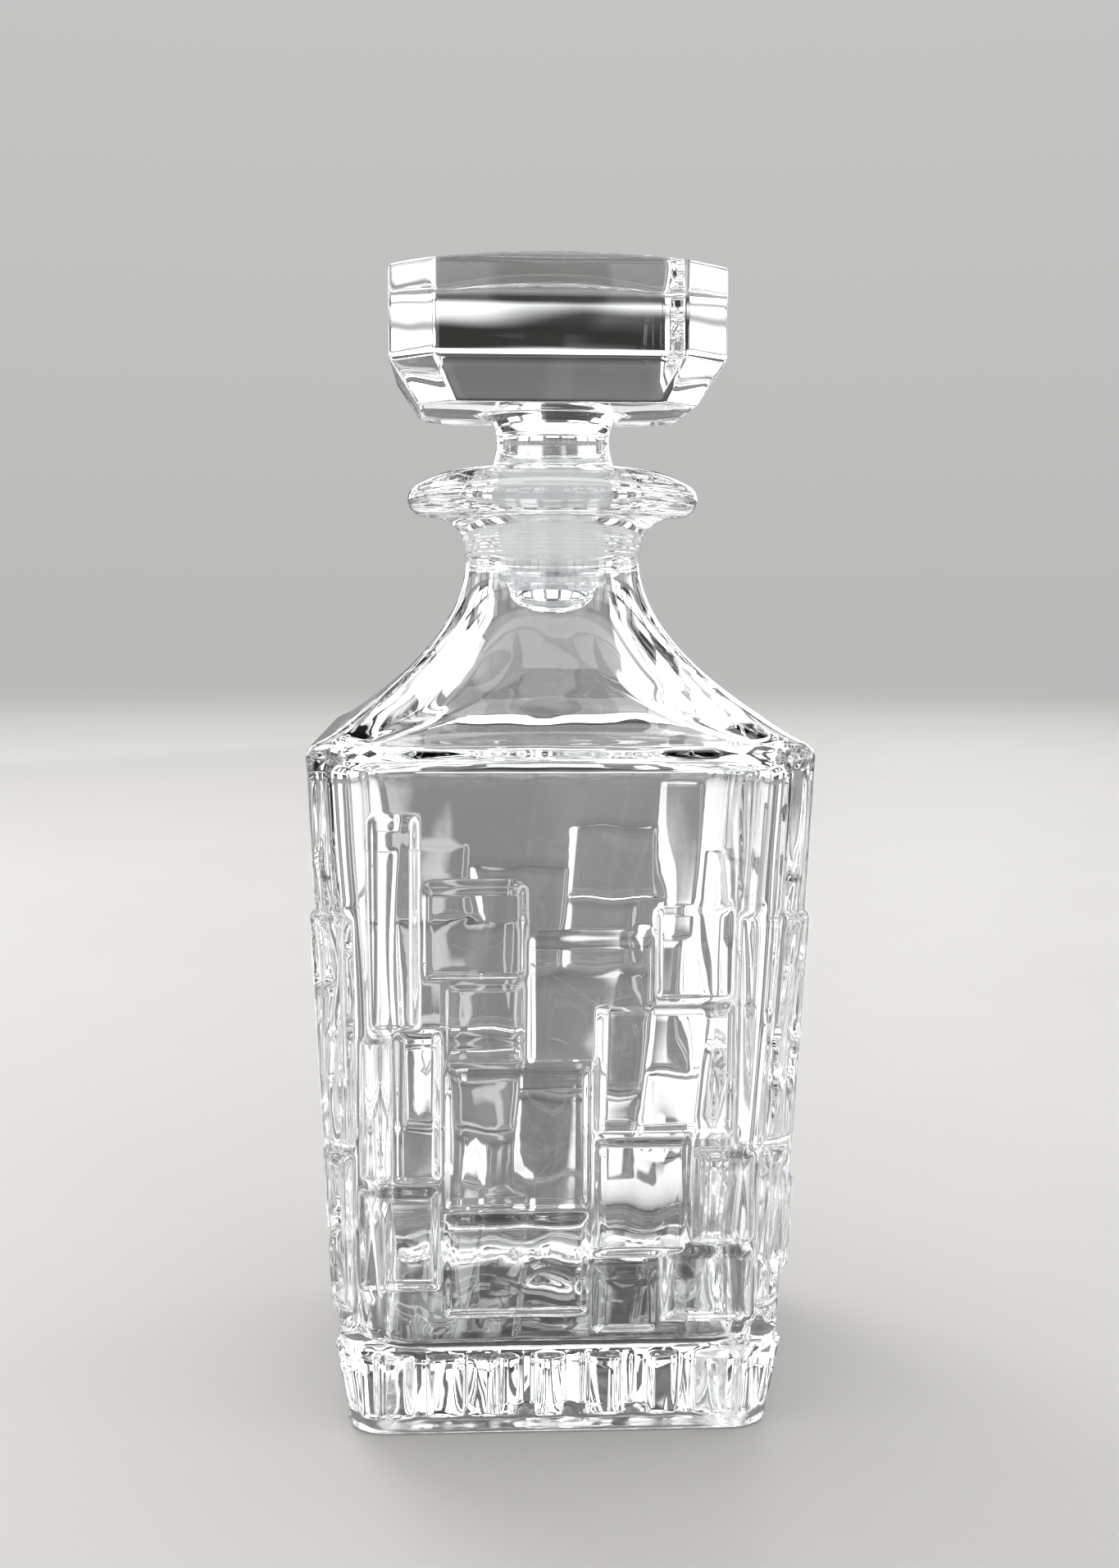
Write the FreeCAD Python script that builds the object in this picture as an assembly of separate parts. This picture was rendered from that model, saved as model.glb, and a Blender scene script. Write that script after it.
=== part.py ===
"""Square glass decanter with a pressed tile relief, its solid glass stopper and the stopper's sleeve.

Millimetres.  +Z up, the origin in the middle of the foot on the table, the four walls facing X and Y.
"""
import FreeCAD, Part
import math
import os

from FreeCAD import Placement, Rotation, Vector

# ---- bottle, outside: widths are half widths across the flats ----
foot_half = 42.7          # foot ring that stands on the table
foot_height = 3.8
foot_edge = 0.8           # softening of the foot's lower edge
band_top = 17.0           # top of the fluted band round the thick glass base
wall_low_half = 44.2      # wall at the top of the band
wall_high_half = 49.6     # wall under the shoulder
shoulder_height = 136.2   # where the flat walls end
shoulder_edge_radius = 3.2
corner_radius = 8.0       # upright corners of the body
shoulder_rise = 38.6      # from the end of the walls to where the sweep has become the round neck
neck_radius = 18.5
shoulder_edge_turns = (25, 50)  # degrees, where the soft edge's sections are
shoulder_edge_inset = 0.85      # of the edge radius, where the sweep starts
sweep_power = 1.9         # how hollow the shoulder sweep is
sweep_sections = 9
least_flat = 0.5          # width of flat left on the sweep where it has turned round
neck_ring_step = 0.25     # the neck ring mould closes this far outside the body mould

# ---- bottle, neck and lip ----
neck_straight = 2.6       # height of the straight part of the neck
flare_height = 6.6        # from the straight neck to the lip's round edge
flare_bow_out = 0.27      # the flare's curve is this share of the way out
flare_bow_down = 0.3      # when it is this share of its height below the lip
lip_radius = 30.8
lip_thickness = 7.1
lip_edge_depth = 3.7      # how far the round edge stands out past its own two ends
lip_crown = 2.8           # how far the top of the lip rises above the end of its round edge
lip_dish = 0.2            # how far it falls again towards the mouth

# ---- bottle, inside ----
floor_height = 16.0
floor_round = 5.0         # soft corner between the floor and the walls
floor_knee = 0.3          # share of it, in and up, where the corner bends
floor_corner_radius = 5.0 # upright corners at the floor
floor_bump_radius = 4.5
floor_bump_height = 1.2
wall = 5.6                # glass thickness of the walls
inner_corner_radius = 7.0
shoulder_wall = 6.0       # glass thickness over the shoulder

# ---- bore and its sealing sleeve ----
bore_low_radius = 12.2
bore_taper = 1.0          # how much wider the bore is at its seat
bore_run_in = 1.5         # the bore starts this far under the neck
vault_margin = 0.6        # the hollow is this much wider than the bore where they meet
throat_overlap = 1.0      # of the bore's cut with the hollow below and the air above
seat_depth = 2.3          # step in the mouth, below the lip's crown, that carries the flange
flange_stand = 1.6        # how far the flange reaches past the bore
flange_thickness = 1.1
mouth_clearance = 0.3     # round the flange
running_clearance = 0.08  # sleeve in the bore
seat_clearance = 0.1      # under the flange and under the stopper's stem
sleeve_thickness = 1.15
sleeve_length = 22.2      # below the seat
sleeve_lead = 6.5         # height of the tapered lead-in at the sleeve's lower end
sleeve_lead_in = 1.05     # how much narrower the lead-in ends
bead_height = 1.3
bead_stand = 0.25
rib_count = 6
rib_height = 0.45
rib_pitch = 1.7
rib_depth = 0.35          # grooves between the sealing ribs

# ---- stopper: heights above its seat on the sleeve ----
plug_clearance = 0.06     # plug in the sleeve
plug_tip_narrowing = 1.15 # the plug below the sleeve is this much thinner
plug_tip_length = 7.4     # below the sleeve
plug_tip_height = 4.6     # of the dome at its end
plug_tip_bow = (0.66, 0.7)  # share of its radius and height that its curve passes through
stem_foot_stand = 1.4     # the stem's foot reaches this far past the plug, onto the sleeve
stem_waist_radius = 11.9
stem_waist_height = 7.3
stem_flare_radius = 16.0
stem_height = 12.6
head_bottom_half = 28.3
head_bottom_cut = 7.6     # cut corners, measured along the flats
bevel_height = 8.7        # of the faces that lean in under the head
head_half = 33.9
head_cut = 9.2
head_side_height = 18.7   # of the upright faces
head_top_inset = 1.6
head_top_height = 3.3     # of the softened top, up to the middle of its gentle dome
head_dome_sphere = 230.0
head_edge_round = 0.6
head_root = 1.0           # how far the stem runs up into the head

# ---- relief: tiles pressed proud of each wall, drawn for a wall of the size given here ----
relief_drawn_half = 38.6
relief_drawn_height = 106.0
relief_margin = 4.4       # from the widest tile to the corner's outer face
plain_band = 10.4         # clear wall between the tallest tile and the shoulder
tile_slope = 1.1          # width of each tile's sloping border
tile_root = 1.5           # how deep a tile is rooted in the wall
corner_sink = 0.2         # how far under the wall a corner tile's sloping ends run
tiles = [                 # left, right, bottom and top above the base band, how far it stands proud
    (-36.2, -26.9, 65.0, 106.0, 0.9),
    (-26.5, -7.0, 74.6, 93.0, 0.9),
    (-22.5, -7.2, 58.2, 74.2, 0.7),
    (-6.6, 17.0, 58.2, 83.2, 0.8),
    (17.4, 32.0, 70.6, 88.4, 0.5),
    (5.8, 32.6, 44.2, 70.0, 1.5),
    (-38.2, -32.4, 35.6, 63.5, 0.7),
    (-31.8, -22.9, 35.0, 64.6, 0.9),
    (-22.6, 5.4, 29.2, 57.8, 1.4),
    (-38.6, -23.2, 13.6, 34.2, 1.5),
    (-22.6, 5.4, 8.0, 28.8, 1.2),
    (6.0, 24.6, 19.8, 43.8, 1.4),
    (25.0, 37.2, 22.2, 40.8, 1.3),
    (19.0, 37.0, 6.6, 21.8, 1.3),
    (5.8, 18.6, 4.4, 18.2, 1.0),
]
corner_tiles = [          # distance kept clear of the wall's middle before and after the corner
    (33.2, 39.2, 41.6, 87.0, 1.1),
    (37.8, 39.8, 9.0, 40.6, 1.3),
]

# ---- base band: upright flutes between the foot and the walls ----
flute_slope = 0.8
flute_root = 3.0          # how deep a flute is rooted in the band
flute_start = 0.5         # above the foot
flute_sink = 0.2          # how far under the band's surface it starts
flutes = [                # left, right, how far the flute stands proud
    (-35.6, -27.4, 1.3),
    (-26.8, -18.2, 0.7),
    (-17.6, -11.4, 1.3),
    (-6.8, -3.6, 0.9),
    (-3.2, 2.0, 1.3),
    (7.2, 13.6, 1.3),
    (14.2, 18.2, 0.7),
    (21.8, 24.4, 0.9),
    (25.0, 34.4, 1.3),
]

# ---- heights that follow from the sizes above ----
neck_start = shoulder_height + shoulder_rise
lip_under = neck_start + neck_straight + flare_height
lip_over = lip_under + lip_thickness
lip_crest = lip_over + lip_crown
bore_low = neck_start - bore_run_in
bore_high_radius = bore_low_radius + bore_taper
seat_height = lip_crest - seat_depth
sleeve_bottom = seat_height + seat_clearance - sleeve_length
lead_top = sleeve_bottom + sleeve_lead
flange_low = seat_height + seat_clearance
flange_high = flange_low + flange_thickness
flange_radius = bore_high_radius + flange_stand
stopper_seat = flange_high + seat_clearance
head_bottom = stopper_seat + stem_height
head_girdle = head_bottom + bevel_height
head_shoulder = head_girdle + head_side_height
head_crown = head_shoulder + head_top_height


def rounded_square(half, radius, z):
    """Closed wire of a square with rounded corners, centred on the axis."""
    flat = half - radius
    turn = radius * math.sqrt(0.5)
    edges = []
    for quarter in range(4):
        spin = Rotation(Vector(0, 0, 1), 90 * quarter)
        at = [spin.multVec(Vector(x, y, z)) for x, y in (
            (half, -flat), (half, flat), (flat + turn, flat + turn), (flat, half))]
        edges.append(Part.LineSegment(at[0], at[1]).toShape())
        edges.append(Part.Arc(at[1], at[2], at[3]).toShape())
    return Part.Wire(edges)


def cut_corner_square(half, cut, z):
    """Closed wire of a square with its four corners cut off."""
    flat = half - cut
    points = []
    for quarter in range(4):
        spin = Rotation(Vector(0, 0, 1), 90 * quarter)
        points += [spin.multVec(Vector(half, -flat, z)), spin.multVec(Vector(half, flat, z))]
    return Part.makePolygon(points + points[:1])


def rectangle(left, right, bottom, top, y):
    """Closed upright rectangle facing -Y."""
    corners = [(left, bottom), (right, bottom), (right, top), (left, top), (left, bottom)]
    return Part.makePolygon([Vector(x, y, z) for x, z in corners])


def ruled(*wires):
    """Solid with straight sides from wire to wire."""
    return Part.makeLoft(list(wires), True, True)


def smooth(*wires):
    """Solid that flows through the wires in one curved skin."""
    return Part.makeLoft(list(wires), True, False)


def turned(edges):
    """Solid of revolution from edges in the XZ plane that close on themselves."""
    return Part.Face(Part.Wire(edges)).revolve(Vector(0, 0, 0), Vector(0, 0, 1), 360)


def line(start, end):
    return Part.LineSegment(Vector(start[0], 0, start[1]), Vector(end[0], 0, end[1])).toShape()


def arc(start, middle, end):
    points = [Vector(r, 0, z) for r, z in (start, middle, end)]
    return Part.Arc(*points).toShape()


def outline(*points):
    """Straight edges from point to point and back to the first."""
    return [line(a, b) for a, b in zip(points, points[1:] + points[:1])]


def along(u):
    """Place across the wall of a point in the relief as drawn."""
    return u * (wall_low_half - relief_margin) / relief_drawn_half


def up(height):
    """Place above the table of a point in the relief as drawn."""
    return band_top + height * (shoulder_height - plain_band - band_top) / relief_drawn_height


def wall_half(z):
    """Half width of the flat walls at a height."""
    share = (z - band_top) / (shoulder_height - band_top)
    return wall_low_half + share * (wall_high_half - wall_low_half)


def sweep_profile(edge_half, edge_z, end_radius, end_z, radius):
    """Half width, corner radius and height of each section from the shoulder's edge to the neck."""
    for step in range(sweep_sections):
        share = step / (sweep_sections - 1)
        half = end_radius + (edge_half - end_radius) * (1 - share) ** sweep_power
        roundest = half - least_flat / 2
        blend = 1 - (1 - share) ** 2
        yield half, radius + (roundest - radius) * blend, edge_z + (end_z - edge_z) * share


def shoulder_sections(half, z, edge_radius, radius, end_radius, end_z):
    """Wires over a soft edge and up the hollow sweep."""
    wires = [rounded_square(half, radius, z)]
    for degrees in shoulder_edge_turns:
        turn = math.radians(degrees)
        wires.append(rounded_square(half - edge_radius * (1 - math.cos(turn)), radius,
                                    z + edge_radius * math.sin(turn)))
    sweep_half = half - edge_radius * shoulder_edge_inset
    sweep_z = z + edge_radius
    wires += [rounded_square(*section)
              for section in sweep_profile(sweep_half, sweep_z, end_radius, end_z, radius)]
    return wires


def leaned(solid, low_half, low, high_half, high):
    """Stand a solid drawn against the plane y = 0 on the front, leaning out as it goes up."""
    lean = math.degrees(math.atan((high_half - low_half) / (high - low)))
    solid.Placement = Placement(Vector(0, -low_half, low), Rotation(Vector(1, 0, 0), lean))
    return solid


def tile(left, right, bottom, top, proud):
    """One raised tile with sloping borders on the front wall."""
    left, right = along(left), along(right)
    low, high = up(bottom) - band_top, up(top) - band_top
    block = ruled(
        rectangle(left, right, low, high, tile_root),
        rectangle(left, right, low, high, 0.0),
        rectangle(left + tile_slope, right - tile_slope,
                  low + tile_slope, high - tile_slope, -proud))
    return leaned(block, wall_low_half, band_top, wall_high_half, shoulder_height)


def corner_tile(before, after, bottom, top, proud):
    """A raised tile that wraps round one upright corner, with sloping ends."""
    before, after = along(before), along(after)
    low, high = up(bottom), up(top)
    ends = [(low, -corner_sink), (low + tile_slope, proud),
            (high - tile_slope, proud), (high, -corner_sink)]
    skin = ruled(*[rounded_square(wall_half(z) + out, corner_radius + out, z) for z, out in ends])
    reach = wall_high_half + 2 * proud
    region = Part.makePolygon([Vector(x, y, low) for x, y in (
        (before, -reach), (reach, -reach), (reach, -after), (before, -after), (before, -reach))])
    return skin.common(Part.Face(region).extrude(Vector(0, 0, high - low)))


def flute(left, right, proud):
    """One upright flute of the base band: it comes out of the foot's edge and ends proud of the wall."""
    left, right = along(left), along(right)
    low = foot_height + flute_start
    section = Part.makePolygon([Vector(x, y, 0) for x, y in (
        (left, flute_root), (left + flute_slope, 0), (right - flute_slope, 0), (right, flute_root),
        (left, flute_root))])
    block = Part.Face(section).extrude(Vector(0, 0, band_top - low + flute_start))
    return leaned(block, foot_half - flute_sink, low, wall_low_half + proud, band_top)


def bottle_outside():
    """Foot, band, walls and shoulder as one solid, with the relief on all four walls."""
    body = ruled(
        rounded_square(foot_half - foot_edge, corner_radius - foot_edge, 0),
        rounded_square(foot_half, corner_radius, foot_edge),
        rounded_square(foot_half, corner_radius, foot_height),
        rounded_square(wall_low_half, corner_radius, band_top),
        rounded_square(wall_high_half, corner_radius, shoulder_height))
    body = body.fuse(smooth(*shoulder_sections(
        wall_high_half, shoulder_height, shoulder_edge_radius, corner_radius, neck_radius, neck_start)))
    relief = [tile(*sizes) for sizes in tiles]
    relief += [corner_tile(*sizes) for sizes in corner_tiles]
    relief += [flute(*sizes) for sizes in flutes]
    around = []
    for quarter in range(4):
        for piece in relief:
            copy = piece.copy()
            copy.rotate(Vector(0, 0, 0), Vector(0, 0, 1), 90 * quarter)
            around.append(copy)
    return body.multiFuse(around + [neck_and_lip()])


def neck_and_lip():
    """Round neck that flares into the thick ring of the lip."""
    radius = neck_radius + neck_ring_step
    step = 2 * neck_ring_step
    seam = neck_start - step
    rim = lip_radius - lip_edge_depth
    flare_foot = (radius, neck_start + neck_straight)
    flare_middle = (radius + flare_bow_out * (rim - radius), lip_under - flare_bow_down * flare_height)
    crest_end = (bore_high_radius, lip_crest - lip_dish)
    crest_middle = ((rim + crest_end[0]) / 2, lip_crest)
    return turned([
        line((0, seam - step), (radius - step, seam - step)),
        line((radius - step, seam - step), (radius, seam)),
        line((radius, seam), flare_foot),
        arc(flare_foot, flare_middle, (rim, lip_under)),
        arc((rim, lip_under), (lip_radius, (lip_under + lip_over) / 2), (rim, lip_over)),
        arc((rim, lip_over), crest_middle, crest_end),
        line(crest_end, (0, crest_end[1])),
        line((0, crest_end[1]), (0, seam - step))])


def bore_radius(z):
    share = (z - bore_low) / (seat_height - bore_low)
    return bore_low_radius + share * (bore_high_radius - bore_low_radius)


def bottle_inside():
    """The hollow that holds the drink, and the bore with its seat at the mouth."""
    low_half = wall_half(floor_height) - wall
    high_half = wall_high_half - wall
    high_z = shoulder_height - shoulder_wall + shoulder_edge_radius
    knee = floor_knee * floor_round
    well = ruled(
        rounded_square(low_half - floor_round, floor_corner_radius, floor_height),
        rounded_square(low_half - knee, inner_corner_radius, floor_height + knee),
        rounded_square(low_half, inner_corner_radius, floor_height + floor_round),
        rounded_square(high_half, inner_corner_radius, high_z))
    vault = smooth(*shoulder_sections(high_half, high_z, shoulder_edge_radius, inner_corner_radius,
                                      bore_low_radius + vault_margin, bore_low))
    throat_low = bore_low - throat_overlap
    throat_high = lip_crest + throat_overlap
    mouth_radius = flange_radius + mouth_clearance
    throat = turned(outline(
        (0, throat_low), (bore_radius(throat_low), throat_low), (bore_high_radius, seat_height),
        (mouth_radius, seat_height), (mouth_radius, throat_high), (0, throat_high)))
    bump_sphere = (floor_bump_radius ** 2 + floor_bump_height ** 2) / (2 * floor_bump_height)
    bump = Part.makeSphere(bump_sphere, Vector(0, 0, floor_height + floor_bump_height - bump_sphere),
                           Vector(1, 0, 0))
    return well.fuse([vault, throat]).cut(bump)


def make_bottle():
    return bottle_outside().cut(bottle_inside())


def sleeve_outside(z):
    """Radius of the sleeve at a height: it follows the bore, then tapers to its lead-in."""
    below = max(0.0, lead_top - z) / sleeve_lead
    return bore_radius(max(z, lead_top)) - running_clearance - sleeve_lead_in * below


def make_sleeve():
    """Soft plastic sleeve: a flange, ribs that seal in the bore, and a tapered lead-in with a bead."""
    outer = [(sleeve_outside(z), z) for z in (sleeve_bottom, lead_top, flange_low)]
    inner = [(radius - sleeve_thickness, z) for radius, z in reversed(outer)]
    tube = turned(outline(
        *outer, (flange_radius, flange_low), (flange_radius, flange_high),
        (inner[0][0], flange_high), *inner))
    end_radius = sleeve_outside(sleeve_bottom)
    at_end = Vector(0, 0, sleeve_bottom)
    bead = Part.makeCylinder(end_radius + bead_stand, bead_height, at_end)
    bead = bead.cut(Part.makeCylinder(end_radius - sleeve_thickness / 2, bead_height, at_end))
    grooves = []
    for number in range(rib_count):
        low = lead_top + rib_pitch * (number + 0.5)
        at_groove = Vector(0, 0, low)
        ring = Part.makeCylinder(flange_radius, rib_pitch - rib_height, at_groove)
        core = Part.makeCylinder(sleeve_outside(low) - rib_depth, rib_pitch - rib_height, at_groove)
        grooves.append(ring.cut(core))
    return tube.fuse(bead).cut(grooves)


def plug_radius(z):
    return sleeve_outside(z) - sleeve_thickness - plug_clearance


def make_stopper():
    """Solid glass: faceted head, waisted stem and the plug with its domed tip."""
    plug_end = sleeve_bottom - plug_tip_length + plug_tip_height
    tip_radius = plug_radius(sleeve_bottom) - plug_tip_narrowing
    tip = (0, plug_end - plug_tip_height)
    tip_side = (plug_tip_bow[0] * tip_radius, plug_end - plug_tip_bow[1] * plug_tip_height)
    low_end = (plug_radius(sleeve_bottom), sleeve_bottom)
    lead_end = (plug_radius(lead_top), lead_top)
    seat_inner = (plug_radius(seat_height), stopper_seat)
    foot = (plug_radius(seat_height) + stem_foot_stand, stopper_seat)
    flare = (stem_flare_radius, head_bottom)
    inside_head = (stem_flare_radius, head_bottom + head_root)
    on_axis = (0, head_bottom + head_root)
    shaft = turned([
        arc(tip, tip_side, (tip_radius, plug_end)),
        line((tip_radius, plug_end), low_end),
        line(low_end, lead_end),
        line(lead_end, seat_inner),
        line(seat_inner, foot),
        arc(foot, (stem_waist_radius, stopper_seat + stem_waist_height), flare),
        line(flare, inside_head),
        line(inside_head, on_axis),
        line(on_axis, tip)])
    head = ruled(
        cut_corner_square(head_bottom_half, head_bottom_cut, head_bottom),
        cut_corner_square(head_half, head_cut, head_girdle),
        cut_corner_square(head_half, head_cut, head_shoulder),
        cut_corner_square(head_half - head_top_inset, head_cut, head_crown))
    dome = Part.makeSphere(head_dome_sphere, Vector(0, 0, head_crown - head_dome_sphere))
    head = head.common(dome)
    return head.makeFillet(head_edge_round, head.Edges).fuse(shaft)


nodes = {
    "bottle": make_bottle,
    "sealing_sleeve": make_sleeve,
    "stopper": make_stopper,
}

os.makedirs("parts", exist_ok=True)
for name, make in nodes.items():
    shape = make().removeSplitter()
    assert shape.isValid() and len(shape.Solids) == 1, name
    box = shape.BoundBox
    print(name, "volume %.1f ml" % (shape.Volume / 1000), "z %.2f..%.2f" % (box.ZMin, box.ZMax),
          "half width %.2f" % box.XMax)
    shape.exportStep("parts/%s.step" % name)
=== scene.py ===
import math

import bpy
import numpy as np
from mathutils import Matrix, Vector


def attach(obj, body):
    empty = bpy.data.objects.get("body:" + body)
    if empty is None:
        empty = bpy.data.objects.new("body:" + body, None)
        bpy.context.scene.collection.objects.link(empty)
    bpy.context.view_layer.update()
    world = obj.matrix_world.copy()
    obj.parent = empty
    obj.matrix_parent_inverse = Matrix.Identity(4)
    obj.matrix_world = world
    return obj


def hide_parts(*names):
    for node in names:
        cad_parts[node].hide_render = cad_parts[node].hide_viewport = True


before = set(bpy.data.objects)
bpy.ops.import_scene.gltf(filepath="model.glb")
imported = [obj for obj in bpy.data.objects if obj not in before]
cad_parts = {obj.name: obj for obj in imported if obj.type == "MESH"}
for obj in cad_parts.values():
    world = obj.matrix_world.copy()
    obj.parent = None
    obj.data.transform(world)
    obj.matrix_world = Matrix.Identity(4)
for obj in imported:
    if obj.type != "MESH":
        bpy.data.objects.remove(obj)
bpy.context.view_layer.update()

# ---------------------------------------------------------------- studio
# A pale matt table top under soft, even studio light. Clear glass shows only what it gathers and bends, so
# for it alone the room has tall soft boxes with dim gaps between them, and the table has painted shade and
# painted pools of light.

# the soft boxes stand evenly all round, and bars, slats, pools and streaks keep step with their number
box_count = 8
box_turn = 0.4
table_gap = 0.00015


class Wire:
    """One socket of a node tree; sums and products of wires become Math nodes."""

    def __init__(self, socket):
        self.socket = socket

    def node(self, kind, settings=None, sockets=None, out=0):
        """An output of a new node. Its settings, a ramp's stops among them, are made before its sockets."""
        tree = self.socket.id_data
        made = tree.nodes.new("ShaderNode" + kind)
        for name, value in (settings or {}).items():
            if name == "stops":
                ramp = made.color_ramp.elements
                while len(ramp) < len(value):
                    ramp.new(0.5)
                for element, (place, colour) in zip(ramp, value):
                    element.position = place
                    element.color = (*colour, 1)
            else:
                setattr(made, name, value)
        for name, value in (sockets or {}).items():
            if isinstance(value, Wire):
                tree.links.new(value.socket, made.inputs[name])
            else:
                made.inputs[name].default_value = value
        return Wire(made.outputs[out])

    def maths(self, operation, *others):
        return self.node("Math", {"operation": operation}, dict(enumerate((self, *others))))

    def __add__(self, other):
        return self.maths("ADD", other)

    def __sub__(self, other):
        return self.maths("SUBTRACT", other)

    def __mul__(self, other):
        return self.maths("MULTIPLY", other)

    def __rsub__(self, other):
        return (self * -1).maths("ADD", other)

    __radd__ = __add__
    __rmul__ = __mul__

    def between(self, low, high):
        """0 below low, 1 above high, and a soft step from one to the other."""
        return self.node("MapRange", {"interpolation_type": "SMOOTHSTEP"},
                         {"Value": self, "From Min": low, "From Max": high})

    def beats(self, count, turn):
        """A wave that swings so many times between -1 and 1 in a full turn, shifted by a turn of its own."""
        return (self * count + turn).maths("COSINE")

    def mixed(self, first, second):
        """The first colour where this wire is 0, the second where it is 1."""
        first, second = (c if isinstance(c, Wire) else (*c, 1) for c in (first, second))
        return self.node("Mix", {"data_type": "RGBA"}, {0: self, 6: first, 7: second}, out=2)

    def part(self, name):
        """X, Y or Z of a vector."""
        return self.node("SeparateXYZ", {}, {0: self}, out="XYZ".index(name))

    def bearing(self):
        """The way a vector points, seen from above."""
        return self.part("X").maths("ARCTAN2", self.part("Y"))

    def into(self, node, name):
        self.socket.id_data.links.new(self.socket, node.inputs[name])


def finish_called(name, **settings):
    """A new material, its shader with these settings on its sockets, and the place on the piece."""
    made = bpy.data.materials.new(name)
    made.use_nodes = True
    tree = made.node_tree
    shader = tree.nodes["Principled BSDF"]
    for socket, value in settings.items():
        shader.inputs[socket.replace("_", " ")].default_value = value
    place = Wire(tree.nodes.new("ShaderNodeTexCoord").outputs["Object"])
    return made, shader, place


def kinds_of_ray(tree):
    """Two wires: 1 for a ray straight from the camera, and 1 for a ray that has left a dull surface."""
    path = tree.nodes.new("ShaderNodeLightPath")
    return Wire(path.outputs["Is Camera Ray"]), Wire(path.outputs["Diffuse Depth"]).between(0.4, 0.6)


def paint_table():
    """Pale mottled paint that fades out far away. Only the glass finds it darker, in painted shade, with
    painted pools and thin streaks of light round the decanter."""
    matt, shader, place = finish_called("table_paint", IOR=1.4)
    mottle = place.node("TexNoise", {}, {"Vector": place, "Scale": 9.0, "Detail": 5.0})
    paint = mottle.mixed((0.50, 0.49, 0.475), (0.54, 0.53, 0.515))
    reach = place.node("VectorMath", {"operation": "LENGTH"}, {"Vector": place}, out=1)
    turn = place.bearing()
    # painted light and shade, seen only by the glass: the table is painted dark, with pools and streaks of
    # light painted where the soft boxes would light it
    pools = (turn.beats(box_count, box_turn) * -1).between(-0.1, 0.4) * reach.between(0.07, 0.14)
    streaks = turn.beats(3 * box_count, 1.9).between(0.6, 0.95) * reach.between(0.10, 0.16) * 0.4
    painted_light_under_glass = pools.maths("MAXIMUM", streaks).mixed((0.105, 0.10, 0.096), (0.90, 0.90, 0.89))
    straight, dull = kinds_of_ray(matt.node_tree)
    (straight + dull).mixed(painted_light_under_glass, paint).into(shader, "Base Color")
    grain = place.node("TexNoise", {}, {"Vector": place, "Scale": 900.0, "Detail": 3.0})
    (grain * 0.1 + 0.5).into(shader, "Roughness")
    clear = place.node("BsdfTransparent")
    faded = place.node("MixShader", {}, {
        0: reach.between(0.7, 3.0), 1: Wire(shader.outputs["BSDF"]), 2: clear})
    faded.into(matt.node_tree.nodes["Material Output"], "Surface")
    return matt


def lay_table():
    """A flat disc, made of rings that stand further apart as they go out."""
    spokes = 96
    angles = [2 * math.pi * k / spokes for k in range(spokes)]
    radii = [0.25, 0.6, 1.4, 3.2, 7.0]
    points = [(0, 0, 0)]
    for radius in radii:
        points += [(radius * math.cos(angle), radius * math.sin(angle), 0) for angle in angles]
    faces = [(0, 1 + k, 1 + (k + 1) % spokes) for k in range(spokes)]
    for step in range(len(radii) - 1):
        inner, outer = 1 + step * spokes, 1 + (step + 1) * spokes
        for k in range(spokes):
            after = (k + 1) % spokes
            faces.append((inner + k, outer + k, outer + after, inner + after))
    mesh = bpy.data.meshes.new("table_top")
    mesh.from_pydata(points, [], faces)
    mesh.materials.append(paint_table())
    table = bpy.data.objects.new("table_top", mesh)
    table.location.z = -table_gap
    bpy.context.scene.collection.objects.link(table)
    return table


def light_room():
    """The room: an even soft light on everything dull, a plain pale backdrop, and for the glass to gather
    and bend, eight tall soft boxes with dim gaps between them, a band of slats, and one box overhead."""
    world = bpy.data.worlds.new("studio")
    bpy.context.scene.world = world
    world.use_nodes = True
    tree = world.node_tree
    tree.nodes.clear()
    way = Wire(tree.nodes.new("ShaderNodeTexCoord").outputs["Generated"])
    rise = way.part("Z")
    turn = way.bearing()

    def row(low, full, fading, gone):
        """1 in a level band of the room, with soft edges."""
        return rise.between(low, full) * (1 - rise.between(fading, gone))

    boxes = (turn.beats(box_count, box_turn) * -1).between(-0.2, 0.2)
    bars = 1 - turn.beats(4 * box_count, 1.59).between(0.7, 0.85) * 0.9
    slats = row(0.335, 0.345, 0.45, 0.46) * turn.beats(2 * box_count, 2.36).between(-0.5, 0.6)
    high_and_low = row(0.025, 0.05, 0.13, 0.14) + row(0.45, 0.47, 0.66, 0.70)
    middle = row(0.136, 0.149, 0.29, 0.30) * (boxes * 0.4 + 0.6)
    lit = (boxes * high_and_low + middle) * bars + slats * 0.6
    dim = rise.node("ValToRGB", {"stops": [
        (0.0, (0.30, 0.30, 0.295)), (0.05, (0.22, 0.22, 0.215)), (0.10, (0.04, 0.038, 0.036)),
        (0.31, (0.04, 0.04, 0.04)), (0.40, (0.20, 0.20, 0.203)), (0.50, (0.035, 0.035, 0.035)),
        (1.0, (0.08, 0.08, 0.085))]}, {"Fac": rise})
    overhead = rise.between(0.80, 0.84)
    studio = overhead.mixed(lit.mixed(dim, (3.1, 3.13, 3.18)), (2.6, 2.6, 2.58))
    backdrop = rise.node("ValToRGB", {"stops": [
        (0.0, (0.50, 0.495, 0.485)), (0.45, (0.60, 0.597, 0.59)), (1.0, (0.5, 0.5, 0.5))]}, {"Fac": rise})
    straight, dull = kinds_of_ray(tree)
    seen = straight.mixed(dull.mixed(studio, (0.98, 0.98, 0.97)), backdrop)
    glow = way.node("Background", {}, {"Color": seen})
    glow.into(tree.nodes.new("ShaderNodeOutputWorld"), "Surface")


floor = lay_table()
light_room()

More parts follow.
